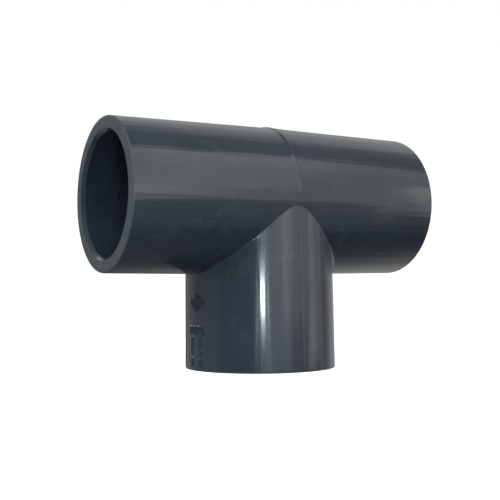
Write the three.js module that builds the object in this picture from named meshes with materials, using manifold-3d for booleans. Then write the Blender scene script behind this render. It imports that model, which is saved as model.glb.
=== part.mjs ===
// Equal tee for solvent-cemented PVC-U pressure pipe: one moulding with three plain sockets.
// Millimetres, +Z up. The origin is the centre of the branch mouth, the run lies along X.
//
// The moulding is divided on the planes of its three pipe stops into the sections that a
// fitter would name: a centre body and three sockets. Neighbours share those planes face to face.

import * as THREE from 'three';
import { mergeVertices } from 'three/addons/utils/BufferGeometryUtils.js';
import Module from 'manifold-3d';

const wasm = await Module();
wasm.setup();

// Pipe and socket
const PIPE_OD = 48.26; // outside diameter of the pipe that is cemented in
const ENTRY_CLEARANCE = 0.15; // radial gap to the pipe at the socket's mouth
const STOP_INTERFERENCE = 0.075; // radial pinch on the pipe at the bottom of the tapered socket
const SOCKET_DEPTH = 34.875; // mouth to pipe stop
const STOP_LEDGE = 3.4; // radial width of the shoulder that stops the pipe
const ENTRY_CHAMFER_WIDTH = 1.15; // radial
const ENTRY_CHAMFER_DEPTH = 1.5; // along the socket

// Walls and outside
const RUN_WALL = 5.97; // at a run mouth, outside the entry bore
const BRANCH_WALL = 6.62; // at the branch mouth, outside the entry bore
const RUN_DRAFT = THREE.MathUtils.degToRad(0.5); // the run's outside grows towards its middle
const BRANCH_INSET = 0.37; // how much smaller the branch is than the run where they cross
const STOP_ALLOWANCE = 3.225; // from the branch's outside to the plane of the run's pipe stops
const MOUTH_ROUND = 0.6; // radius on the outer edge of each mouth

// Parting ridge round the run, steep on its left and fading out on its right
const PARTING_OFFSET = 1.2; // from the branch axis, towards +X
const RIDGE_HEIGHT = 0.45;
const RIDGE_RISE = 1.6; // length of the steep side
const RIDGE_FADE = 5.5; // length of the long side

// Raised moulding marks on the branch: a plain lozenge over a row of blocks and two columns of bars.
// Widths and distances across are measured round the wall. The group is drawn at these sizes and
// scaled as a whole to the room between its two margins.
const MARK_HEIGHT = 0.4; // how far a mark stands proud of the wall
const MARK_ROOT = 1.0; // how far it reaches into the wall
const MARK_CENTRE = 2.6; // middle of the group, from the -X direction towards -Y
const MARK_TOP = 4.175; // clear wall above the group, up to the pipe stop
const MARK_BOTTOM = 1.8; // clear wall below it, down to the mouth
const MARK_GAP = 0.8; // between marks in the row or in a column
const LOZENGE = { width: 11, height: 7.4, below: 5.5 };
const ROW = { widths: [2.2, 1.4, 2.8, 1.8], height: 3.2, below: 1 };
const COLUMNS = { lengths: [[7.4, 3.6], [4.6, 2.2, 3.4]], width: 1.7, spacing: 6 };

// Facets
const AROUND = 64; // segments of every turned surface
const ROUND_STEPS = 3; // segments of the mouth's rounded edge

// Worked out from the values above
const entryR = PIPE_OD / 2 + ENTRY_CLEARANCE;
const stopR = PIPE_OD / 2 - STOP_INTERFERENCE;
const waterwayR = stopR - STOP_LEDGE;
const runMouthR = entryR + RUN_WALL;
const branchMouthR = entryR + BRANCH_WALL;
const centreToStop = branchMouthR + STOP_ALLOWANCE;
const centreToMouth = centreToStop + SOCKET_DEPTH;
const runRadiusAt = (distance) => runMouthR + (centreToMouth - distance) * Math.tan(RUN_DRAFT);
const branchRootR = runRadiusAt(0) - BRANCH_INSET;
const branchStopR = THREE.MathUtils.lerp(branchMouthR, branchRootR, SOCKET_DEPTH / centreToMouth);

const greyPvc = { color: 0x3c444d, roughness: 0.3, metalness: 0 };

// Axes of revolution: a lathe turns about Y, and a cyclic swap of axes lays it along X or Z.
const Y_TO_X = new THREE.Matrix4().set(0, 1, 0, 0, 0, 0, 1, 0, 1, 0, 0, 0, 0, 0, 0, 1);
const Y_TO_Z = Y_TO_X.clone().multiply(Y_TO_X);

// A turned solid from [radius, distance along the axis] pairs.
function turned(profile, toAxis) {
  const points = profile.map(([radius, along]) => new THREE.Vector2(radius, along));
  return new THREE.LatheGeometry(points, AROUND).applyMatrix4(toAxis);
}

// A closed three.js geometry as a manifold solid. Merging is by position only.
function solid(geometry) {
  const bare = geometry.index ? geometry.clone() : geometry;
  bare.deleteAttribute('normal');
  bare.deleteAttribute('uv');
  const merged = mergeVertices(bare, 1e-5);
  const index = Array.from(merged.index.array);
  const triVerts = [];
  for (let i = 0; i < index.length; i += 3) {
    const [a, b, c] = index.slice(i, i + 3);
    if (a !== b && b !== c && c !== a) triVerts.push(a, b, c);
  }
  return new wasm.Manifold(new wasm.Mesh({
    numProp: 3,
    vertProperties: Float32Array.from(merged.attributes.position.array),
    triVerts: Uint32Array.from(triVerts),
  }));
}

function namedMesh(name, body) {
  const { vertProperties, triVerts } = body.getMesh();
  const geometry = new THREE.BufferGeometry();
  geometry.setAttribute('position', new THREE.BufferAttribute(vertProperties, 3));
  geometry.setIndex(new THREE.BufferAttribute(triVerts, 1));
  geometry.computeVertexNormals();
  const mesh = new THREE.Mesh(geometry, new THREE.MeshStandardMaterial(greyPvc));
  mesh.name = name;
  return mesh;
}

// Profile of one socket's wall, from the stop (at 0) to the mouth (at SOCKET_DEPTH).
function socketProfile(outerStopR, outerMouthR) {
  const corner = [];
  for (let i = 0; i <= ROUND_STEPS; i += 1) {
    const turn = (i / ROUND_STEPS) * (Math.PI / 2);
    corner.push([
      outerMouthR - MOUTH_ROUND * (1 - Math.cos(turn)),
      SOCKET_DEPTH - MOUTH_ROUND * (1 - Math.sin(turn)),
    ]);
  }
  return [
    [stopR, 0],
    [outerStopR, 0],
    ...corner,
    [entryR + ENTRY_CHAMFER_WIDTH, SOCKET_DEPTH],
    [entryR, SOCKET_DEPTH - ENTRY_CHAMFER_DEPTH],
    [stopR, 0],
  ];
}

// The same profile set down from `stop` towards `mouth` on an axis at the given level. A socket that
// points the other way is read backwards, so that its faces still point outwards.
function socket(profile, stop, mouth, toAxis, level) {
  const sense = Math.sign(mouth - stop);
  const placed = profile.map(([radius, along]) => [radius, stop + sense * along]);
  return solid(turned(sense > 0 ? placed : placed.reverse(), toAxis).translate(0, 0, level));
}

// Outside of the run between the two stop planes, with the parting ridge.
function runCore(level) {
  const profile = [
    [0, -centreToStop],
    [runRadiusAt(centreToStop), -centreToStop],
    [runRadiusAt(RIDGE_RISE - PARTING_OFFSET), PARTING_OFFSET - RIDGE_RISE],
    [runRadiusAt(PARTING_OFFSET) + RIDGE_HEIGHT, PARTING_OFFSET],
    [runRadiusAt(PARTING_OFFSET) + RIDGE_HEIGHT * 0.4, PARTING_OFFSET + RIDGE_FADE * 0.35],
    [runRadiusAt(PARTING_OFFSET + RIDGE_FADE), PARTING_OFFSET + RIDGE_FADE],
    [runRadiusAt(centreToStop), centreToStop],
    [0, centreToStop],
  ];
  return solid(turned(profile, Y_TO_X).translate(0, 0, level));
}

// Outside of the branch from its stop plane up to the run's axis, hidden there inside the run.
function branchCore(level) {
  const profile = [[0, SOCKET_DEPTH], [branchStopR, SOCKET_DEPTH], [branchRootR, level], [0, level]];
  return solid(turned(profile, Y_TO_Z));
}

// A plain round cutter along an axis, from one distance to another.
function waterway(from, to, toAxis, level) {
  const profile = [[0, from], [waterwayR, from], [waterwayR, to], [0, to]];
  return solid(turned(profile, toAxis).translate(0, 0, level));
}

function centreBody() {
  const level = centreToMouth;
  const past = 5; // the cutters run on past the faces that they open
  return runCore(level)
    .add(branchCore(level))
    .subtract(waterway(-centreToStop - past, centreToStop + past, Y_TO_X, level))
    .subtract(waterway(SOCKET_DEPTH - past, level, Y_TO_Z, 0));
}

// Outside radius of the branch at a level above its mouth.
function branchRadiusAt(level) {
  return THREE.MathUtils.lerp(branchMouthR, branchRootR, level / centreToMouth);
}

// Length of marks laid end to end with a gap between each two.
function laidOut(lengths) {
  return lengths.reduce((sum, length) => sum + length + MARK_GAP, -MARK_GAP);
}

const columnsDrop = LOZENGE.height + LOZENGE.below + ROW.height + ROW.below;
const drawnHeight = columnsDrop + Math.max(...COLUMNS.lengths.map(laidOut));
const markScale = (SOCKET_DEPTH - MARK_TOP - MARK_BOTTOM) / drawnHeight;

// Sets a block, modelled at the origin with its thickness along X, into the branch wall: `drop` below
// the top of the group and `across` from its middle, both as drawn. It reaches well past the wall.
function inWall(block, drop, across) {
  const level = SOCKET_DEPTH - MARK_TOP - drop * markScale;
  block.scale(1, markScale, markScale);
  block.translate(-branchRadiusAt(level), 0, level);
  block.rotateZ((MARK_CENTRE + across * markScale) / branchRadiusAt(level));
  return solid(block);
}

function bar(width, height, drop, across) {
  return inWall(new THREE.BoxGeometry(4 * MARK_ROOT, width, height), drop, across);
}

function lozenge() {
  const { width, height } = LOZENGE;
  const outline = new THREE.Shape();
  outline.moveTo(-height / 2, 0).lineTo(0, -width / 2).lineTo(height / 2, 0).lineTo(0, width / 2);
  const block = new THREE.ExtrudeGeometry(outline, { depth: 4 * MARK_ROOT, bevelEnabled: false });
  block.translate(0, 0, -2 * MARK_ROOT).rotateY(Math.PI / 2);
  return inWall(block, height / 2, 0);
}

// All the marks, cut to a skin that follows the branch's outside.
function marks() {
  let blocks = lozenge();
  const rowDrop = LOZENGE.height + LOZENGE.below + ROW.height / 2;
  let across = -laidOut(ROW.widths) / 2;
  ROW.widths.forEach((width) => {
    blocks = blocks.add(bar(width, ROW.height, rowDrop, across + width / 2));
    across += width + MARK_GAP;
  });
  COLUMNS.lengths.forEach((lengths, column) => {
    const place = (column - (COLUMNS.lengths.length - 1) / 2) * COLUMNS.spacing;
    let drop = columnsDrop;
    lengths.forEach((length) => {
      blocks = blocks.add(bar(COLUMNS.width, length, drop + length / 2, place));
      drop += length + MARK_GAP;
    });
  });
  const skin = [
    [branchMouthR - MARK_ROOT, 0],
    [branchMouthR + MARK_HEIGHT, 0],
    [branchStopR + MARK_HEIGHT, SOCKET_DEPTH],
    [branchStopR - MARK_ROOT, SOCKET_DEPTH],
    [branchMouthR - MARK_ROOT, 0],
  ];
  return blocks.intersect(solid(turned(skin, Y_TO_Z)));
}

function markedBranchSocket() {
  const profile = socketProfile(branchStopR, branchMouthR);
  return socket(profile, SOCKET_DEPTH, 0, Y_TO_Z, 0).add(marks());
}

function runSocket(side) {
  const profile = socketProfile(runRadiusAt(centreToStop), runMouthR);
  return socket(profile, side * centreToStop, side * centreToMouth, Y_TO_X, centreToMouth);
}

const tee = new THREE.Group();
tee.name = 'tee';
tee.add(
  namedMesh('centre_body', centreBody()),
  namedMesh('left_run_socket', runSocket(-1)),
  namedMesh('right_run_socket', runSocket(1)),
  namedMesh('branch_socket', markedBranchSocket()),
);

export default tee;
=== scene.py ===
"""A moulded PVC-U tee with three plain sockets, drawn round its CAD frame, on a pale studio floor.

All places are in metres in the frame's own axes: +X along the run, +Z up the branch, and the
branch mouth standing on the floor at the origin.
"""

import math

import bmesh
import bpy
import numpy as np
from mathutils import Matrix, Vector


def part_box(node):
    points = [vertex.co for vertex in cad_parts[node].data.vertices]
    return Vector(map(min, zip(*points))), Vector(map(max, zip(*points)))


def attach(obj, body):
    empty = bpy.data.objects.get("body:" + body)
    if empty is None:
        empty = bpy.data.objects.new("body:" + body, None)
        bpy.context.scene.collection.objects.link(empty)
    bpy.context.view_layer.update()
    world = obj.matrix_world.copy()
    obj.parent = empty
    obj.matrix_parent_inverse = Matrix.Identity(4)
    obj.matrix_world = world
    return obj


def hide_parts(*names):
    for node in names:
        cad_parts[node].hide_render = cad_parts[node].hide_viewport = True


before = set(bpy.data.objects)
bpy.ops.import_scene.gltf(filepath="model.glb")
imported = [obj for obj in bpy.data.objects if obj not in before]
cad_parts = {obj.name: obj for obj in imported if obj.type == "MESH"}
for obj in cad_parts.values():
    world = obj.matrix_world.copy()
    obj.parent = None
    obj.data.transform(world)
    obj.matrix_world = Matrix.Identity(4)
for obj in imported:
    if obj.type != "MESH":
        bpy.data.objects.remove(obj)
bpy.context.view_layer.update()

bl_info = {
    "name": "Moulded Pipe Tee",
    "version": (1, 0, 0),
    "blender": (4, 5, 0),
    "location": "3D View > Sidebar > Pipe Tee",
    "description": "Draws a moulded PVC-U socket tee and a plain studio round it",
    "category": "Add Mesh",
}

MM = 0.001

# Numbers of the finishes, in the order of plastics()
RUN_SKIN, MOUTH_RING, BRANCH_SKIN, MARK_SKIN = range(4)

RING_REACH = 1.01  # reach of the ring's finish from the mouth, in mouth roundings

# Details of the parting line. Heights at the front and on the branch are shares of those on top
FLASH_WIDTH = 0.17 * MM
RIDGE_AT_FRONT, FLASH_AT_FRONT, FLASH_ON_BRANCH = 0.25, 0.7, 0.7
FADE_POWER = 1.6  # above 1, the ridge's long side is hollow
NICK_X, NICK_ANGLE = 2.0 * MM, math.radians(36)
NICK_RADIUS, NICK_DEPTH = 1.2 * MM, 0.14 * MM

# Fineness of the meshes
WELD_REACH = 0.001 * MM
SHARP_ANGLE = math.radians(35)
SEAM_LINES = np.linspace(-0.6, 0.6, 9) * MM  # lines over the flash, from its middle
CROSSING_LINES = 256  # round the branch, where it meets the run
TOP_LINES = 132  # over the top of the centre body
FILLET_STEPS, BRANCH_STEPS, FILLET_ROUNDS = 8, 8, 4
RIDGE_REACH, RIDGE_STEPS = 2, 20  # millimetres by the middle plane that have close steps
FAR_STEPS, FAR_POWER = 26, 1.6  # steps from there to the stop plane, and how fast they grow
SOCKET_LINES = 288  # round a run socket
MARKED_TURNS = (math.pi / 2 - 0.32, math.pi / 2 + 0.16)  # part of the branch that holds the marks
MARKED_LINES, UNMARKED_LINES, MARKED_ROWS = 90, 250, 180
COVE_LINES, COVE_STEPS = 96, 33

# Sizes that the frame gives
LEFT_LOW, LEFT_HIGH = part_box("left_run_socket")
CENTRE_LOW, CENTRE_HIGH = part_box("centre_body")
BRANCH_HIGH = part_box("branch_socket")[1]
RUN_LEVEL = (LEFT_LOW.z + LEFT_HIGH.z) / 2
MOUTH_X = -LEFT_LOW.x
STOP_X = CENTRE_HIGH.x
STOP_Z = CENTRE_LOW.z
RUN_STOP_RADIUS = (LEFT_HIGH.y - LEFT_LOW.y) / 2
BRANCH_MOUTH_RADIUS = BRANCH_HIGH.x


# ---------------------------------------------------------------- sizes and colours


class TeeSizes(bpy.types.PropertyGroup):
    """Sizes of the moulding that its frame doesn't state"""

    entry_radius: bpy.props.FloatProperty(
        name="Entry bore radius", description="Socket bore at the mouth",
        default=24.28 * MM, unit="LENGTH")
    stop_radius: bpy.props.FloatProperty(
        name="Stop bore radius", description="Socket bore at the pipe stop",
        default=24.055 * MM, unit="LENGTH")
    waterway_radius: bpy.props.FloatProperty(
        name="Waterway radius", description="Bore of the centre, behind the pipe stops",
        default=20.655 * MM, unit="LENGTH")
    chamfer_width: bpy.props.FloatProperty(
        name="Chamfer width", description="Entry chamfer, across the wall",
        default=1.15 * MM, unit="LENGTH")
    chamfer_depth: bpy.props.FloatProperty(
        name="Chamfer depth", description="Entry chamfer, along the socket",
        default=1.5 * MM, unit="LENGTH")
    mouth_round: bpy.props.FloatProperty(
        name="Mouth rounding", description="Radius on the outer edge of a mouth",
        default=0.6 * MM, unit="LENGTH")
    edge_round: bpy.props.FloatProperty(
        name="Edge rounding", description="Radius on the two edges of the entry chamfer",
        default=0.15 * MM, unit="LENGTH")
    run_draft: bpy.props.FloatProperty(
        name="Run draft", description="Taper of the run's outside from its middle to a mouth",
        default=math.radians(0.5), subtype="ANGLE")
    branch_inset: bpy.props.FloatProperty(
        name="Branch inset", description="How much smaller the branch is than the run at the crossing",
        default=0.37 * MM, unit="LENGTH")
    fillet_left: bpy.props.FloatProperty(
        name="Left fillet", description="Fillet between branch and run, on the left",
        default=1.0 * MM, unit="LENGTH")
    fillet_right: bpy.props.FloatProperty(
        name="Right fillet", description="Fillet between branch and run, on the right",
        default=2.0 * MM, unit="LENGTH")
    parting_x: bpy.props.FloatProperty(
        name="Parting plane", description="Place of the mould's parting plane along the run",
        default=1.2 * MM, unit="LENGTH")
    ridge_height: bpy.props.FloatProperty(
        name="Ridge height", description="Height of the parting ridge on top of the run",
        default=0.33 * MM, unit="LENGTH")
    flash_height: bpy.props.FloatProperty(
        name="Flash height", description="Height of the thin flash along the ridge and the branch",
        default=0.09 * MM, unit="LENGTH")
    ridge_rise: bpy.props.FloatProperty(
        name="Ridge rise", description="Length of the ridge's steep side",
        default=1.6 * MM, unit="LENGTH")
    ridge_fade: bpy.props.FloatProperty(
        name="Ridge fade", description="Length of the ridge's long side",
        default=12 * MM, unit="LENGTH")
    mark_height: bpy.props.FloatProperty(
        name="Mark height", description="How far the moulding marks stand proud",
        default=0.4 * MM, unit="LENGTH")
    mark_edge: bpy.props.FloatProperty(
        name="Mark edge", description="Width of the sloping edge of a mark",
        default=0.45 * MM, unit="LENGTH")


class TeeColours(bpy.types.PropertyGroup):
    """Colours of the plastic and of the studio, as sRGB hex values"""

    body: bpy.props.StringProperty(
        name="Body", description="Moulded PVC-U, outside and bore", default="262F38")
    dust: bpy.props.StringProperty(
        name="Dust", description="Scuffs and specks of dust", default="8E969B")
    mouth: bpy.props.StringProperty(
        name="Mouth", description="Flat ring of a socket mouth", default="3B4145")
    mark: bpy.props.StringProperty(
        name="Mark", description="Etched tops of the moulding marks", default="1C232A")
    floor: bpy.props.StringProperty(
        name="Floor", description="Studio floor and backdrop", default="F4F4F2")
    air: bpy.props.StringProperty(
        name="Air", description="Glow of the studio's walls", default="F6F5F3")


# ---------------------------------------------------------------- surfaces


def sheet(points, wrap_u=False, wrap_v=False, flip=False, finish=0):
    """Points, quads and finishes of a grid of points[u, v]. A quad joins a point to the next one in u,
    in both, and in v."""
    count_u, count_v = points.shape[:2]
    number = np.arange(count_u * count_v).reshape(count_u, count_v)
    u = np.arange(count_u if wrap_u else count_u - 1)[:, None]
    v = np.arange(count_v if wrap_v else count_v - 1)[None, :]
    next_u, next_v = (u + 1) % count_u, (v + 1) % count_v
    corners = [number[u, v], number[next_u, v], number[next_u, next_v], number[u, next_v]]
    quads = np.stack(corners[::-1] if flip else corners, -1)
    finishes = np.broadcast_to(np.asarray(finish), quads.shape[:2])
    return points.reshape(-1, 3), quads.reshape(-1, 4), finishes.ravel()


def piece_of(name, sheets, materials, cad_node):
    """One smooth-shaded closed piece, from sheets that share their borders, that hides the CAD node it
    takes the place of.
    """
    starts = np.cumsum([0] + [len(points) for points, _, _ in sheets[:-1]])
    points = np.concatenate([points for points, _, _ in sheets])
    quads = np.concatenate([quads + start for (_, quads, _), start in zip(sheets, starts)])
    mesh = bpy.data.meshes.new(name)
    mesh.from_pydata(points, [], quads)
    mesh.polygons.foreach_set("material_index", np.concatenate([kinds for _, _, kinds in sheets]))
    weld = bmesh.new()
    weld.from_mesh(mesh)
    bmesh.ops.remove_doubles(weld, verts=weld.verts, dist=WELD_REACH)
    weld.to_mesh(mesh)
    weld.free()
    mesh.shade_smooth()
    mesh.set_sharp_from_angle(angle=SHARP_ANGLE)
    for material in materials:
        mesh.materials.append(material)
    piece = bpy.data.objects.new(name, mesh)
    bpy.context.scene.collection.objects.link(piece)
    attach(piece, "root")
    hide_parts(cad_node)


def smooth(value, low=0, high=1):
    """0 below low, 1 above high, and between them an S-curve: three squares less two cubes."""
    t = np.clip((value - low) / (high - low), 0, 1)
    return t * t * (3 - 2 * t)


def run_radius(x):
    """Outside radius of the run: it grows from the mouths to the middle by its draft."""
    sizes = bpy.context.scene.tee_sizes
    return RUN_STOP_RADIUS + (STOP_X - np.abs(x)) * math.tan(sizes.run_draft)


def branch_radius(z):
    """Outside radius of the branch, straight from the run's axis down to its mouth."""
    root = run_radius(0.0) - bpy.context.scene.tee_sizes.branch_inset
    return BRANCH_MOUTH_RADIUS + (root - BRANCH_MOUTH_RADIUS) * z / RUN_LEVEL


def ridge(x, angle):
    """Height of the parting ridge: an S-curve up its steep side, a hollow slope down its long side and
    a bell of flash between them. All grow from the front to the top, and sink to nothing where they
    reach the branch. A small bell is taken away where the ridge was knocked."""
    sizes = bpy.context.scene.tee_sizes
    past = x - sizes.parting_x
    rise = smooth(past, -sizes.ridge_rise, 0)
    fade = np.clip(1 - past / sizes.ridge_fade, 0, 1) ** FADE_POWER
    step = sizes.ridge_height * np.where(past < 0, rise, fade)
    flash = sizes.flash_height * np.exp(-(past / FLASH_WIDTH) ** 2)
    top = smooth(np.sin(angle), 0.2, 0.9)
    above_branch = smooth(np.sin(angle), -0.1, 0.15)
    raised = step * (RIDGE_AT_FRONT + (1 - RIDGE_AT_FRONT) * top)
    raised = raised + flash * (FLASH_AT_FRONT + (1 - FLASH_AT_FRONT) * top)
    aside = run_radius(0.0) * (angle - NICK_ANGLE)
    nick = NICK_DEPTH * np.exp(-((x - NICK_X) ** 2 + aside ** 2) / NICK_RADIUS ** 2)
    return raised * above_branch - nick


def seam(turn):
    """Height of the flash down the front and back of the branch: a bell over the parting plane."""
    sizes = bpy.context.scene.tee_sizes
    past = -branch_radius(0.0) * np.sin(turn) - sizes.parting_x
    return FLASH_ON_BRANCH * sizes.flash_height * np.exp(-(past / FLASH_WIDTH) ** 2)


def branch_turns(rest):
    """The given turns, with closer ones over the flash at the front and the back, in order."""
    offset = bpy.context.scene.tee_sizes.parting_x / BRANCH_MOUTH_RADIUS
    close = SEAM_LINES / BRANCH_MOUTH_RADIUS
    front, back = 2 * math.pi - offset + close, math.pi + offset + close
    return np.unique(np.concatenate([rest, front, back]))


def on_run(x, radius, angle):
    """Points round the run's axis. The angle is 0 at the front, -Y, and a quarter turn at the top."""
    x, radius, angle = np.broadcast_arrays(x, radius, angle)
    return np.stack([x, -radius * np.cos(angle), RUN_LEVEL + radius * np.sin(angle)], -1)


def on_branch(turn, radius, z):
    """Points round the branch's axis. The turn is 0 at the front, -Y, and a quarter turn at -X."""
    turn, radius, z = np.broadcast_arrays(turn, radius, z)
    return np.stack([-radius * np.sin(turn), -radius * np.cos(turn), z], -1)


def rounded(corners, steps=5):
    """A closed profile of (radius, distance, rounding) corners. A corner with a rounding is an arc
    that touches both its sides, drawn by turning between its two ends about its centre."""
    corner = np.array([place[:2] for place in corners])
    profile = []
    for index, (_, _, rounding) in enumerate(corners):
        here = corner[index]
        if not rounding:
            profile.append(here)
            continue
        back = corner[index - 1] - here
        on = corner[(index + 1) % len(corners)] - here
        back, on = back / np.linalg.norm(back), on / np.linalg.norm(on)
        half = math.acos(np.dot(back, on)) / 2
        centre = here + (back + on) / np.linalg.norm(back + on) * rounding / math.sin(half)
        first = here + back * rounding / math.tan(half) - centre
        last = here + on * rounding / math.tan(half) - centre
        share = np.linspace(0, 1, steps + 1)[:, None]
        spread = math.pi - 2 * half
        arc = np.sin((1 - share) * spread) * first + np.sin(share * spread) * last
        profile.extend(centre + arc / math.sin(spread))
    return np.array(profile)


def socket_profile(outer_stop, outer_mouth, depth):
    """Closed profile of a socket wall, as (radius, distance) from the stop to the mouth and back: out
    along the stop plane, the outside, the ring, the chamfer and the bore."""
    sizes = bpy.context.scene.tee_sizes
    return rounded([
        (sizes.stop_radius, 0.0, 0),
        (outer_stop, 0.0, 0),
        (outer_mouth, depth, sizes.mouth_round),
        (sizes.entry_radius + sizes.chamfer_width, depth, sizes.edge_round),
        (sizes.entry_radius, depth - sizes.chamfer_depth, sizes.edge_round),
    ])


def finishes_of(profile, depth, skin):
    """Finish of each stretch of a socket profile: the mouth ring's where both its ends are on the ring
    or its outer rounding, else the skin."""
    near = profile[:, 1] > depth - RING_REACH * bpy.context.scene.tee_sizes.mouth_round
    return np.where(near & np.roll(near, -1), MOUTH_RING, skin)[None, :]


# ---------------------------------------------------------------- moulding marks


# From the stop plane down: clear wall, a lozenge, clear wall, a row of bars and two columns of bars
MARK_CENTRE = 2.6 * MM  # middle of the group, round the wall from -X towards -Y
MARK_TOP = 4.175 * MM
LOZENGE_WIDTH, LOZENGE_HEIGHT, LOZENGE_BELOW = 11 * MM, 7.4 * MM, 5.5 * MM
BAR_GAP = 0.8 * MM
ROW_WIDTHS = np.array((2.2, 1.4, 2.8, 1.8)) * MM
ROW_HEIGHT, ROW_BELOW = 3.2 * MM, 1 * MM
COLUMN_LENGTHS = (np.array((7.4, 3.6)) * MM, np.array((4.6, 2.2, 3.4)) * MM)
COLUMN_WIDTH, COLUMN_SPACING = 1.7 * MM, 6 * MM
TOP_SHARE = 0.8  # share of a mark's height from which its finish is that of its top


def mark_boxes():
    """Bars of the row and the columns, as (middle across, middle level, half width, half height). The
    row's bars lie side by side with a gap between, and the columns' bars hang one under another."""
    top = STOP_Z - MARK_TOP - LOZENGE_HEIGHT - LOZENGE_BELOW
    ends = np.cumsum(ROW_WIDTHS + BAR_GAP) - BAR_GAP
    middles = ends - ROW_WIDTHS / 2 - ends[-1] / 2
    half_high = ROW_HEIGHT / 2
    boxes = [(middle, top - half_high, width / 2, half_high)
             for middle, width in zip(middles, ROW_WIDTHS)]
    for column, lengths in enumerate(COLUMN_LENGTHS):
        level = top - ROW_HEIGHT - ROW_BELOW
        place = (column - 0.5) * COLUMN_SPACING
        for length in lengths:
            boxes.append((place, level - length / 2, COLUMN_WIDTH / 2, length / 2))
            level -= length + BAR_GAP
    return boxes


def mark_height(turn, z):
    """Height of the raised marks over the branch wall: the distance to the nearest mark's outline,
    taken through an S-curve as wide as the sloping edge."""
    sizes = bpy.context.scene.tee_sizes
    across = (math.pi / 2 - turn) * branch_radius(z) - MARK_CENTRE
    half_width, half_height = LOZENGE_WIDTH / 2, LOZENGE_HEIGHT / 2
    middle = STOP_Z - MARK_TOP - half_height
    outside = np.abs(across) / half_width + np.abs(z - middle) / half_height - 1
    nearest = outside * half_width * half_height / math.hypot(half_width, half_height)
    for place, level, wide, high in mark_boxes():
        to_box = np.maximum(np.abs(across - place) - wide, np.abs(z - level) - high)
        nearest = np.minimum(nearest, to_box)
    return sizes.mark_height * smooth(0.5 - nearest / sizes.mark_edge)


# ---------------------------------------------------------------- materials


PVC_IOR = 1.53

# Sizes of the plastic's patterns in millimetres, as they are on a handled fitting
FLOW_LENGTH, FLOW_SPACING = 60, 2.6
PEEL_SIZE = 1.1
BLOTCH_SIZE, MATT_BLOTCH_SIZE = 14, 6
SPECK_SPACING = 6.5
SMUDGE_SIZE = 11
SCRATCH_SPACING = 26
# A matt mould's grain is about 0.05 mm, which is too fine to show, so it is drawn coarser
RING_GRAIN, MARK_GRAIN = 0.5, 0.3

RING_ROUGHNESS, MARK_ROUGHNESS, WORN_ROUGHNESS = 0.5, 0.6, 0.5
SPECKS_ABOVE = 0.72  # a speck is left out unless its cell's random value is above this
SCRATCH_LEVEL, SCRATCH_REACH = 0.45, 0.0015  # scratches follow this contour of a noise


def colour(hex_value):
    """Linear RGBA of an sRGB hex value."""
    parts = [int(hex_value[i:i + 2], 16) / 255 for i in (0, 2, 4)]
    return (*[p / 12.92 if p <= 0.04045 else ((p + 0.055) / 1.055) ** 2.4 for p in parts], 1)


def node(tree, kind, settings=None, inputs=None):
    """Adds a node of a kind, sets its properties, and fills or links its inputs."""
    made = tree.nodes.new(kind)
    for name, value in (settings or {}).items():
        setattr(made, name, value)
    for name, value in (inputs or {}).items():
        if isinstance(value, bpy.types.NodeSocket):
            tree.links.new(value, made.inputs[name])
        else:
            made.inputs[name].default_value = value
    return made


def new_material(name):
    """An empty node material, its tree, and the piece's own coordinates in millimetres."""
    material = bpy.data.materials.new(name)
    material.use_nodes = True
    tree = material.node_tree
    tree.nodes.clear()
    place = node(tree, "ShaderNodeTexCoord").outputs["Object"]
    millimetres = node(tree, "ShaderNodeVectorMath", {"operation": "SCALE"}, {
        0: place, "Scale": 1 / MM})
    return material, tree, millimetres.outputs[0]


def finish_material(tree, shader):
    """Links a shader to the material's output."""
    node(tree, "ShaderNodeOutputMaterial", inputs={"Surface": shader.outputs[0]})


def wear(tree, place):
    """Amount of dust and wear: sparse specks, worn smudges and a few hair scratches. Each is a texture
    in millimetres that is passed through a threshold, and the strongest of them counts."""
    cells = node(tree, "ShaderNodeTexVoronoi", inputs={"Vector": place, "Scale": 1 / SPECK_SPACING})
    speck = node(tree, "ShaderNodeMapRange", inputs={
        "Value": cells.outputs["Distance"],
        "From Min": 0.05, "From Max": 0.025, "To Min": 0.0, "To Max": 0.6})
    kept = node(tree, "ShaderNodeMath", {"operation": "GREATER_THAN"}, {
        0: cells.outputs["Color"], 1: SPECKS_ABOVE})
    specks = node(tree, "ShaderNodeMath", {"operation": "MULTIPLY"}, {
        0: speck.outputs[0], 1: kept.outputs[0]})
    patches = node(tree, "ShaderNodeTexNoise", inputs={
        "Vector": place, "Scale": 1 / SMUDGE_SIZE, "Detail": 8.0, "Roughness": 0.65})
    smudges = node(tree, "ShaderNodeMapRange", inputs={
        "Value": patches.outputs[0],
        "From Min": 0.56, "From Max": 0.8, "To Min": 0.0, "To Max": 0.08})
    folds = node(tree, "ShaderNodeTexNoise", inputs={
        "Vector": place, "Scale": 1 / SCRATCH_SPACING, "Detail": 0.0, "Distortion": 0.6})
    middle = node(tree, "ShaderNodeMath", {"operation": "COMPARE"}, {
        0: folds.outputs[0], 1: SCRATCH_LEVEL, 2: SCRATCH_REACH})
    where = node(tree, "ShaderNodeMapRange", inputs={
        "Value": patches.outputs[0],
        "From Min": 0.5, "From Max": 0.6, "To Min": 0.0, "To Max": 0.08})
    scratches = node(tree, "ShaderNodeMath", {"operation": "MULTIPLY"}, {
        0: middle.outputs[0], 1: where.outputs[0]})
    most = node(tree, "ShaderNodeMath", {"operation": "MAXIMUM"}, {
        0: specks.outputs[0], 1: smudges.outputs[0]})
    return node(tree, "ShaderNodeMath", {"operation": "MAXIMUM"}, {
        0: most.outputs[0], 1: scratches.outputs[0]})


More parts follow.
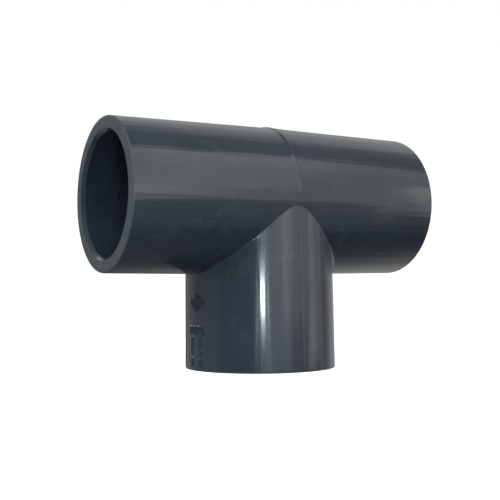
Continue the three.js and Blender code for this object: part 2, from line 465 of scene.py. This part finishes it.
def moulded_pvc(name, flow_scale):
    """PVC-U as it leaves a polished mould. The eye sees a sharp mirror image over a softer one, so that
    a lamp has a small core and a wide halo, long faint flow streaks that bend what it mirrors, a fine
    orange peel, uneven gloss, and the dust and scuffs of handling."""
    colours = bpy.context.scene.tee_colours
    material, tree, place = new_material(name)
    along = node(tree, "ShaderNodeVectorMath", {"operation": "MULTIPLY"}, {0: place, 1: flow_scale})
    streaks = node(tree, "ShaderNodeTexNoise", inputs={
        "Vector": along.outputs[0], "Scale": 1.0, "Detail": 1.5})
    blotches = node(tree, "ShaderNodeTexNoise", inputs={
        "Vector": place, "Scale": 1 / BLOTCH_SIZE, "Detail": 4.0})
    peel = node(tree, "ShaderNodeTexNoise", inputs={
        "Vector": place, "Scale": 1 / PEEL_SIZE, "Detail": 3.0})
    worn = wear(tree, place)

    shade = node(tree, "ShaderNodeMapRange", inputs={
        "Value": blotches.outputs[0],
        "From Min": 0.3, "From Max": 0.7, "To Min": 0.88, "To Max": 1.12})
    tint = node(tree, "ShaderNodeVectorMath", {"operation": "SCALE"}, {
        0: colour(colours.body)[:3], "Scale": shade.outputs[0]})
    skin = node(tree, "ShaderNodeMix", {"data_type": "RGBA"}, {
        0: worn.outputs[0], 6: tint.outputs[0], 7: colour(colours.dust)})

    gloss = node(tree, "ShaderNodeMapRange", inputs={
        "Value": peel.outputs[0],
        "From Min": 0.3, "From Max": 0.7, "To Min": 0.17, "To Max": 0.22})
    drawn = node(tree, "ShaderNodeMapRange", inputs={
        "Value": streaks.outputs[0],
        "From Min": 0.35, "From Max": 0.65, "To Min": -0.03, "To Max": 0.07})
    rough = node(tree, "ShaderNodeMath", {"operation": "ADD"}, {
        0: gloss.outputs[0], 1: drawn.outputs[0]})
    dull = node(tree, "ShaderNodeMix", inputs={
        0: worn.outputs[0], 2: rough.outputs[0], 3: WORN_ROUGHNESS})

    waves = node(tree, "ShaderNodeBump", inputs={
        "Height": streaks.outputs[0], "Strength": 1.0, "Distance": 0.15 * MM})
    fine = node(tree, "ShaderNodeBump", inputs={
        "Height": peel.outputs[0], "Strength": 1.0, "Distance": 0.008 * MM,
        "Normal": waves.outputs[0]})
    shader = node(tree, "ShaderNodeBsdfPrincipled", inputs={
        "Base Color": skin.outputs[2], "Roughness": dull.outputs[0], "Normal": fine.outputs[0],
        "IOR": PVC_IOR, "Specular IOR Level": 0.3, "Coat Weight": 0.4, "Coat Roughness": 0.135,
        "Coat IOR": PVC_IOR, "Coat Normal": fine.outputs[0]})
    finish_material(tree, shader)
    return material


def matt_pvc(name, hex_value, roughness, grain_size):
    """The same plastic where the mould was left matt or etched. The eye sees an even grain that hides
    what the surface mirrors."""
    material, tree, place = new_material(name)
    grain = node(tree, "ShaderNodeTexNoise", inputs={
        "Vector": place, "Scale": 1 / grain_size, "Detail": 3.0})
    blotches = node(tree, "ShaderNodeTexNoise", inputs={
        "Vector": place, "Scale": 1 / MATT_BLOTCH_SIZE, "Detail": 4.0})
    shade = node(tree, "ShaderNodeMapRange", inputs={
        "Value": blotches.outputs[0],
        "From Min": 0.3, "From Max": 0.7, "To Min": 0.85, "To Max": 1.15})
    tint = node(tree, "ShaderNodeVectorMath", {"operation": "SCALE"}, {
        0: colour(hex_value)[:3], "Scale": shade.outputs[0]})
    skin = node(tree, "ShaderNodeBump", inputs={
        "Height": grain.outputs[0], "Strength": 1.0, "Distance": 0.02 * MM})
    shader = node(tree, "ShaderNodeBsdfPrincipled", inputs={
        "Base Color": tint.outputs[0], "Roughness": roughness, "Normal": skin.outputs[0],
        "IOR": PVC_IOR})
    finish_material(tree, shader)
    return material


def plastics():
    """The plastic's finishes, in the order of their numbers. Each is made once, and then found by its
    name. The flow streaks lie along the run and along the branch."""
    colours = bpy.context.scene.tee_colours
    long, short = 1 / FLOW_LENGTH, 1 / FLOW_SPACING
    makers = {
        "moulded_pvc_u_run": lambda name: moulded_pvc(name, (long, short, short)),
        "moulded_pvc_u_mouth": lambda name: matt_pvc(
            name, colours.mouth, RING_ROUGHNESS, RING_GRAIN),
        "moulded_pvc_u_branch": lambda name: moulded_pvc(name, (short, short, long)),
        "etched_pvc_u_mark": lambda name: matt_pvc(
            name, colours.mark, MARK_ROUGHNESS, MARK_GRAIN),
    }
    return [bpy.data.materials.get(name) or make(name) for name, make in makers.items()]


# ---------------------------------------------------------------- pieces


class TEE_OT_centre(bpy.types.Operator):
    """Centre body: the crossing of run and branch with its fillet, ridge and waterways"""

    bl_idname = "tee.centre"
    bl_label = "Centre Body"

    def execute(self, context):
        sizes = context.scene.tee_sizes
        turn = branch_turns(np.linspace(0, 2 * math.pi, CROSSING_LINES, endpoint=False))
        around, back = len(turn), int(np.argmin(np.abs(turn - math.pi)))
        mean = (sizes.fillet_left + sizes.fillet_right) / 2
        ball = mean + (sizes.fillet_left - sizes.fillet_right) / 2 * np.sin(turn)

        # A ball rolls in the corner, and its radius goes from the left fillet's to the right one's.
        # Its centre keeps that radius from both surfaces, so it lies where two grown cylinders meet.
        # Both taper, so its depth below the run's axis is worked out again until it settles. The
        # fillet is the ball's arc from where it touches the run to where it touches the branch.
        depth = np.zeros(around)
        for _ in range(FILLET_ROUNDS):
            branch_out = branch_radius(RUN_LEVEL - depth)
            reach = -(branch_out + ball) * np.sin(turn)
            run_out = run_radius(reach)
            aside = -(branch_out + ball) * np.cos(turn)
            depth = np.sqrt((run_out + ball) ** 2 - aside ** 2)
        centre = np.stack([reach, aside, RUN_LEVEL - depth], -1)
        to_run = np.stack([0 * reach, -aside, depth], -1) / (run_out + ball)[:, None]
        to_branch = np.stack([np.sin(turn), np.cos(turn), 0 * turn], -1)
        spread = np.arccos(np.sum(to_run * to_branch, -1))[:, None, None]
        share = np.linspace(0, 1, FILLET_STEPS + 1)[None, :, None]
        weight_run = np.sin((1 - share) * spread) / np.sin(spread)
        weight_branch = np.sin(share * spread) / np.sin(spread)
        arc = weight_run * to_run[:, None] + weight_branch * to_branch[:, None]
        fillet = centre[:, None] + ball[:, None, None] * arc

        # The branch below the fillet, where the flash starts over the first quarter, and its bore. Equal
        # bores cross in slanting ellipses, so this one starts as far below the axis as it is aside.
        drop = np.linspace(0, 1, BRANCH_STEPS)[None, :]
        level = fillet[:, -1, 2][:, None] * (1 - drop) + STOP_Z * drop
        proud = seam(turn)[:, None] * smooth(drop, 0, 0.25)
        branch = on_branch(turn[:, None], branch_radius(level) + proud, level)
        bore_top = RUN_LEVEL - sizes.waterway_radius * np.abs(np.sin(turn))
        bore_level = bore_top[:, None] * (1 - drop) + STOP_Z * drop
        branch_bore = on_branch(turn[:, None], sizes.waterway_radius, bore_level)
        stop_ring = np.stack([branch[:, -1], branch_bore[:, -1]], 1)
        sheets = [
            sheet(fillet, wrap_u=True, finish=BRANCH_SKIN),
            sheet(branch, wrap_u=True, finish=BRANCH_SKIN),
            sheet(branch_bore, wrap_u=True, flip=True, finish=BRANCH_SKIN),
            sheet(stop_ring, wrap_u=True, finish=BRANCH_SKIN),
        ]

        # Each half of the run, outside and bore, and the ring between them on the stop plane
        for side in (-1, 1):
            half = np.arange(back + 1) if side < 0 else -np.arange(around - back + 1) % around
            outer = self.half_run(side, fillet[half, 0], outside=True)
            inner = self.half_run(side, branch_bore[half, 0], outside=False)
            stop_ring = np.stack([inner[:, 0], outer[:, 0]], 1)
            sheets += [
                sheet(outer, wrap_u=True, flip=side > 0),
                sheet(inner, wrap_u=True, flip=side < 0),
                sheet(stop_ring, wrap_u=True, flip=side > 0),
            ]
        piece_of("tee_centre_body", sheets, plastics(), "centre_body")
        return {"FINISHED"}

    @staticmethod
    def half_run(side, lower_end, outside):
        """Grid of one half of the run, outside or bore. Its lines keep their angle and go from the stop
        plane to their end: the given points round the branch, and the middle plane over the top. Their
        points lie 0.1 mm apart near the end, where the ridge is, and further apart from there."""
        angle_low = np.unwrap(np.arctan2(lower_end[:, 2] - RUN_LEVEL, -lower_end[:, 1]))
        first, last = angle_low[0], angle_low[-1]
        angle_high = np.linspace(last + 2 * math.pi, first, TOP_LINES + 1)[1:-1]
        angle = np.concatenate([angle_low, angle_high])[:, None]
        end = np.concatenate([lower_end[:, 0], np.zeros(TOP_LINES - 1)])[:, None]
        near = np.linspace(0, RIDGE_REACH, RIDGE_STEPS + 1)
        growth = np.linspace(0, 1, FAR_STEPS + 1)[1:] ** FAR_POWER
        far = RIDGE_REACH + (STOP_X / MM - RIDGE_REACH) * growth
        share = 1 - np.concatenate([near, far])[::-1] * MM / STOP_X
        x = side * STOP_X + (end - side * STOP_X) * share[None, :]
        if outside:
            return on_run(x, run_radius(x) + ridge(x, angle), angle)
        return on_run(x, bpy.context.scene.tee_sizes.waterway_radius, angle)


class TEE_OT_run_sockets(bpy.types.Operator):
    """Run sockets: the two tapered sockets at the ends of the run"""

    bl_idname = "tee.run_sockets"
    bl_label = "Run Sockets"

    def execute(self, context):
        depth = MOUTH_X - STOP_X
        profile = socket_profile(RUN_STOP_RADIUS, run_radius(MOUTH_X), depth)
        finish = finishes_of(profile, depth, RUN_SKIN)
        angle = np.linspace(0, 2 * math.pi, SOCKET_LINES, endpoint=False)[:, None]
        for name, side in (("left_run_socket", -1), ("right_run_socket", 1)):
            points = on_run(side * (STOP_X + profile[None, :, 1]), profile[None, :, 0], angle)
            wall = sheet(points, wrap_u=True, wrap_v=True, flip=side > 0, finish=finish)
            piece_of("tee_" + name, [wall], plastics(), name)
        return {"FINISHED"}


class TEE_OT_branch_socket(bpy.types.Operator):
    """Branch socket: the tapered socket that the tee stands on, with its raised moulding marks"""

    bl_idname = "tee.branch_socket"
    bl_label = "Branch Socket"

    def execute(self, context):
        sizes = context.scene.tee_sizes
        profile = socket_profile(branch_radius(STOP_Z), BRANCH_MOUTH_RADIUS, STOP_Z)

        # Rows down the outside, between the profile's second and third points, carry the marks
        share = np.linspace(0, 1, MARKED_ROWS)[1:-1, None]
        rows = profile[1] * (1 - share) + profile[2] * share
        profile = np.concatenate([profile[:2], rows, profile[2:]])
        outside = np.zeros(len(profile), bool)
        outside[1:len(rows) + 2] = True
        start, end = MARKED_TURNS
        marked = np.linspace(start, end, MARKED_LINES)
        rest = np.linspace(end, start + 2 * math.pi, UNMARKED_LINES)[1:-1] % (2 * math.pi)
        turn = branch_turns(np.concatenate([marked, rest]))[:, None]
        level = STOP_Z - profile[None, :, 1]
        raised = np.where(outside[None, :], mark_height(turn, level), 0)
        proud = np.where(outside[None, :], seam(turn) * smooth(level, 0, 2 * MM), 0)
        points = on_branch(turn, profile[None, :, 0] + raised + proud, level)

        # A quad lies on a mark's top where both its lines are near the full height
        top = np.minimum(raised, np.roll(raised, -1, axis=0)) > TOP_SHARE * sizes.mark_height
        finish = np.where(top, MARK_SKIN, finishes_of(profile, STOP_Z, BRANCH_SKIN))
        wall = sheet(points, wrap_u=True, wrap_v=True, finish=finish)
        piece_of("tee_branch_socket", [wall], plastics(), "branch_socket")
        return {"FINISHED"}


# ---------------------------------------------------------------- studio


KEY_COOL, KEY_WARM, FLASH_COOL = (0.86, 0.95, 1.0), (1.0, 0.955, 0.9), (0.82, 0.96, 1.0)

# Sheets of the key light, all in one plane that leans over the front right. Each has its name, its left
# and right edges along X and its near and far edges along Y in metres, its radiance and its tint.
KEY_LEVEL, KEY_LEAN = 0.62, 0.7  # the plane's level at Y = 0, and its rise along Y
KEY_SHEETS = (
    ("key_cool", -0.32, 0.05, -0.9, -0.2, 1.3, KEY_COOL),
    ("key_left_low", 0.05, 0.2, -0.9, -0.62, 2.1, KEY_WARM),
    ("key_left_high", 0.05, 0.2, -0.62, -0.2, 1.6, KEY_WARM),
    ("key_middle", 0.2, 0.33, -0.9, -0.2, 1.4, KEY_WARM),
    ("key_far_low", 0.33, 0.9, -0.9, -0.8, 1.0, KEY_WARM),
    ("key_far_high", 0.33, 0.9, -0.8, -0.2, 0.78, KEY_WARM),
)

# Upright lights: name, middle, half sides across and upward, radiance, tint, and whether the plastic
# mirrors it. The fills only light the plastic's own colour, and the flash makes the narrow highlight.
PANELS = (
    ("key_right", (0.9, -0.6, 0.2), (0, -0.16, 0), (0, 0, 0.26), 1.2, KEY_WARM, True),
    ("key_edge", (0.9, -0.33, 0.07), (0, -0.11, 0), (0, 0, 0.13), 0.55, KEY_WARM, True),
    ("low_cool", (-0.24, -0.9, -0.055), (-0.12, 0, 0), (0, 0, 0.045), 1.5, KEY_COOL, True),
    ("low_middle", (0.065, -0.9, -0.055), (-0.185, 0, 0), (0, 0, 0.045), 0.85, KEY_COOL, True),
    ("key_low", (0.65, -0.49, -0.045), (-0.09, -0.11, 0), (0, 0, 0.045), 0.7, KEY_WARM, True),
    ("fill_left", (-0.85, -0.3, 0.5), (0, 0.35, 0), (0.15, 0, 0.22), 6.0, (1, 1, 1), False),
    ("fill_low", (-0.85, -0.15, -0.1), (0, 0.3, 0), (-0.05, 0, 0.2), 2.6, KEY_COOL, False),
    ("flash", (-0.166, -0.332, 0.029), (-0.006, 0.003, 0), (0, 0, 0.003), 900.0, FLASH_COOL, True),
)

# Uneven glow of the studio's walls: direction, inner and outer half angle in degrees, and radiance
BASE_GLOW = 0.06
GLOWS = (
    ((0.56, 0.66, 0.5), 22, 40, 0.4),
    ((0, 0, 1), 30, 75, 0.3),
    ((-0.64, 0.77, 0.05), 42, 49, 0.26),
    ((0.8, 0.5, -0.35), 10, 38, 0.33),
    ((0.5, 0.45, -0.75), 20, 50, 0.12),
    ((1, 0, 0), 10, 40, 0.3),
    ((0.42, -1, -0.15), 15, 45, 0.33),
    ((-0.4, -0.5, -0.75), 20, 55, 0.22),
    ((0, 0.87, 0.5), 5, 17, 0.9),
)

FLOOR_REACH, COVE_RADIUS = 1.0, 2.0
FLOOR_GLOW = 0.86

SENSOR_WIDTH, FOCAL_LENGTH = 36, 61.35  # in millimetres, as the camera takes them
LENS_SHIFT = (0.06, -0.04)
CAMERA_PLACE = (-0.18459, -0.30601, RUN_LEVEL - 0.03633)
CAMERA_AZIMUTH, CAMERA_TILT, CAMERA_ROLL = 0.498, 0.0682, -0.0107


def turned_place(right, up, out, middle):
    """Matrix that stands an object at a middle, with its own axes along right, up and out."""
    place = Matrix((right, up, out)).transposed().to_4x4()
    place.translation = middle
    return place


def panel(name, middle, across, upward, radiance, tint, mirrored=True):
    """A flat area light with its middle and its two half sides given as vectors. It shines towards
    across x upward, and its watts are its radiance times pi times its area."""
    middle, across, upward = Vector(middle), Vector(across), Vector(upward)
    light = bpy.data.lights.new(name, "AREA")
    light.shape = "RECTANGLE"
    light.size, light.size_y = 2 * across.length, 2 * upward.length
    light.energy = radiance * math.pi * light.size * light.size_y
    light.color = tint
    lamp = bpy.data.objects.new(name, light)
    bpy.context.scene.collection.objects.link(lamp)
    across.normalize()
    upward.normalize()
    lamp.matrix_world = turned_place(-across, upward, upward.cross(across), middle)
    lamp.visible_camera = False
    lamp.visible_glossy = mirrored


def cove_profile():
    """Reach and level of the floor that turns up into a round wall: flat, then a half circle, so that
    it closes over the top."""
    bend = np.linspace(-math.pi / 2, math.pi / 2, COVE_STEPS)
    reach = np.concatenate([[0.0], FLOOR_REACH + COVE_RADIUS * np.cos(bend), [0.0]])
    level = np.concatenate([[0.0], COVE_RADIUS + COVE_RADIUS * np.sin(bend), [2 * COVE_RADIUS]])
    return reach[None, :], level[None, :]


class TEE_OT_stage(bpy.types.Operator):
    """Stage: a pale floor and backdrop, soft studio lights and the camera"""

    bl_idname = "tee.stage"
    bl_label = "Studio"

    def execute(self, context):
        self.floor(context.scene)
        self.lights()
        self.air(context.scene)
        self.camera(context.scene)
        return {"FINISHED"}

    @staticmethod
    def floor(scene):
        """A closed floor and wall of matt white paint, which the eye sees as one even pale ground. It
        glows by itself, casts no shadow and isn't mirrored, so it leaves the lights as they are."""
        pale = colour(scene.tee_colours.floor)
        material, tree, _ = new_material("matt_painted_floor")
        shader = node(tree, "ShaderNodeBsdfPrincipled", inputs={
            "Base Color": pale, "Roughness": 0.9,
            "Emission Color": pale, "Emission Strength": FLOOR_GLOW})
        finish_material(tree, shader)
        turn = np.linspace(0, 2 * math.pi, COVE_LINES, endpoint=False)[:, None]
        reach, level = cove_profile()
        points = np.stack([reach * np.cos(turn), reach * np.sin(turn), level + 0 * turn], -1)
        places, quads, _ = sheet(points, wrap_u=True, flip=True)
        mesh = bpy.data.meshes.new("studio_cove")
        mesh.from_pydata(places, [], quads)
        mesh.shade_smooth()
        mesh.materials.append(material)
        cove = bpy.data.objects.new("studio_cove", mesh)
        scene.collection.objects.link(cove)
        cove.visible_glossy = False
        cove.visible_diffuse = False
        cove.visible_shadow = False

    @staticmethod
    def lights():
        """The key light's sheets, laid in their leaning plane, and the upright panels."""
        for name, left, right, near, far, radiance, tint in KEY_SHEETS:
            across, deep, place = (right - left) / 2, (far - near) / 2, (near + far) / 2
            middle = ((left + right) / 2, place, KEY_LEVEL + KEY_LEAN * place)
            panel(name, middle, (-across, 0, 0), (0, deep, KEY_LEAN * deep), radiance, tint)
        for row in PANELS:
            panel(*row)

    @staticmethod
    def air(scene):
        """The glow of the walls: an even one, and a round lobe in each direction of the list that fades
        in an S-curve from its inner half angle to its outer one."""
        world = bpy.data.worlds.new("studio_air")
        scene.world = world
        world.use_nodes = True
        tree = world.node_tree
        tree.nodes.clear()
        place = node(tree, "ShaderNodeTexCoord").outputs["Generated"]
        glow = BASE_GLOW
        for towards, inner, outer, radiance in GLOWS:
            lobe = node(tree, "ShaderNodeVectorMath", {"operation": "DOT_PRODUCT"}, {
                0: place, 1: Vector(towards).normalized()})
            level = node(tree, "ShaderNodeMapRange", {"interpolation_type": "SMOOTHSTEP"}, {
                "Value": lobe.outputs["Value"], "From Min": math.cos(math.radians(outer)),
                "From Max": math.cos(math.radians(inner)), "To Min": 0.0, "To Max": radiance})
            total = node(tree, "ShaderNodeMath", {"operation": "ADD"}, {0: glow, 1: level.outputs[0]})
            glow = total.outputs[0]
        sky = node(tree, "ShaderNodeBackground", inputs={
            "Color": colour(scene.tee_colours.air), "Strength": glow})
        node(tree, "ShaderNodeOutputWorld", inputs={"Surface": sky.outputs[0]})

    @staticmethod
    def camera(scene):
        """A long lens low at the front left, turned by its azimuth, tilt and roll in radians."""
        lens = bpy.data.cameras.new("camera")
        lens.sensor_width = SENSOR_WIDTH
        lens.lens = FOCAL_LENGTH
        lens.shift_x, lens.shift_y = LENS_SHIFT
        lens.clip_start, lens.clip_end = 0.01, 20
        camera = bpy.data.objects.new("camera", lens)
        scene.collection.objects.link(camera)
        forward = Vector((math.sin(CAMERA_AZIMUTH), math.cos(CAMERA_AZIMUTH), 0))
        level = Vector((math.cos(CAMERA_AZIMUTH), -math.sin(CAMERA_AZIMUTH), 0))
        ahead = forward * math.cos(CAMERA_TILT) + Vector((0, 0, math.sin(CAMERA_TILT)))
        upright = level.cross(ahead)
        right = level * math.cos(CAMERA_ROLL) + upright * math.sin(CAMERA_ROLL)
        up = upright * math.cos(CAMERA_ROLL) - level * math.sin(CAMERA_ROLL)
        camera.matrix_world = turned_place(right, up, -ahead, Vector(CAMERA_PLACE))
        scene.camera = camera
        scene.view_settings.view_transform = "Standard"


class TEE_PT_panel(bpy.types.Panel):
    """Lists the tee's pieces, sizes and colours"""

    bl_idname = "TEE_PT_panel"
    bl_label = "Pipe Tee"
    bl_space_type = "VIEW_3D"
    bl_region_type = "UI"
    bl_category = "Pipe Tee"

    def draw(self, context):
        for group in (context.scene.tee_sizes, context.scene.tee_colours):
            for name in group.__annotations__:
                self.layout.prop(group, name)
        for operator in STEPS:
            self.layout.operator(operator.bl_idname)


STEPS = (TEE_OT_centre, TEE_OT_run_sockets, TEE_OT_branch_socket, TEE_OT_stage)
CLASSES = (TeeSizes, TeeColours, *STEPS, TEE_PT_panel)


def register():
    for made in CLASSES:
        bpy.utils.register_class(made)
    bpy.types.Scene.tee_sizes = bpy.props.PointerProperty(type=TeeSizes)
    bpy.types.Scene.tee_colours = bpy.props.PointerProperty(type=TeeColours)


def unregister():
    del bpy.types.Scene.tee_colours
    del bpy.types.Scene.tee_sizes
    for made in reversed(CLASSES):
        bpy.utils.unregister_class(made)


def main():
    register()
    bpy.ops.tee.centre()
    bpy.ops.tee.run_sockets()
    bpy.ops.tee.branch_socket()
    bpy.ops.tee.stage()


if __name__ == "__main__":
    main()
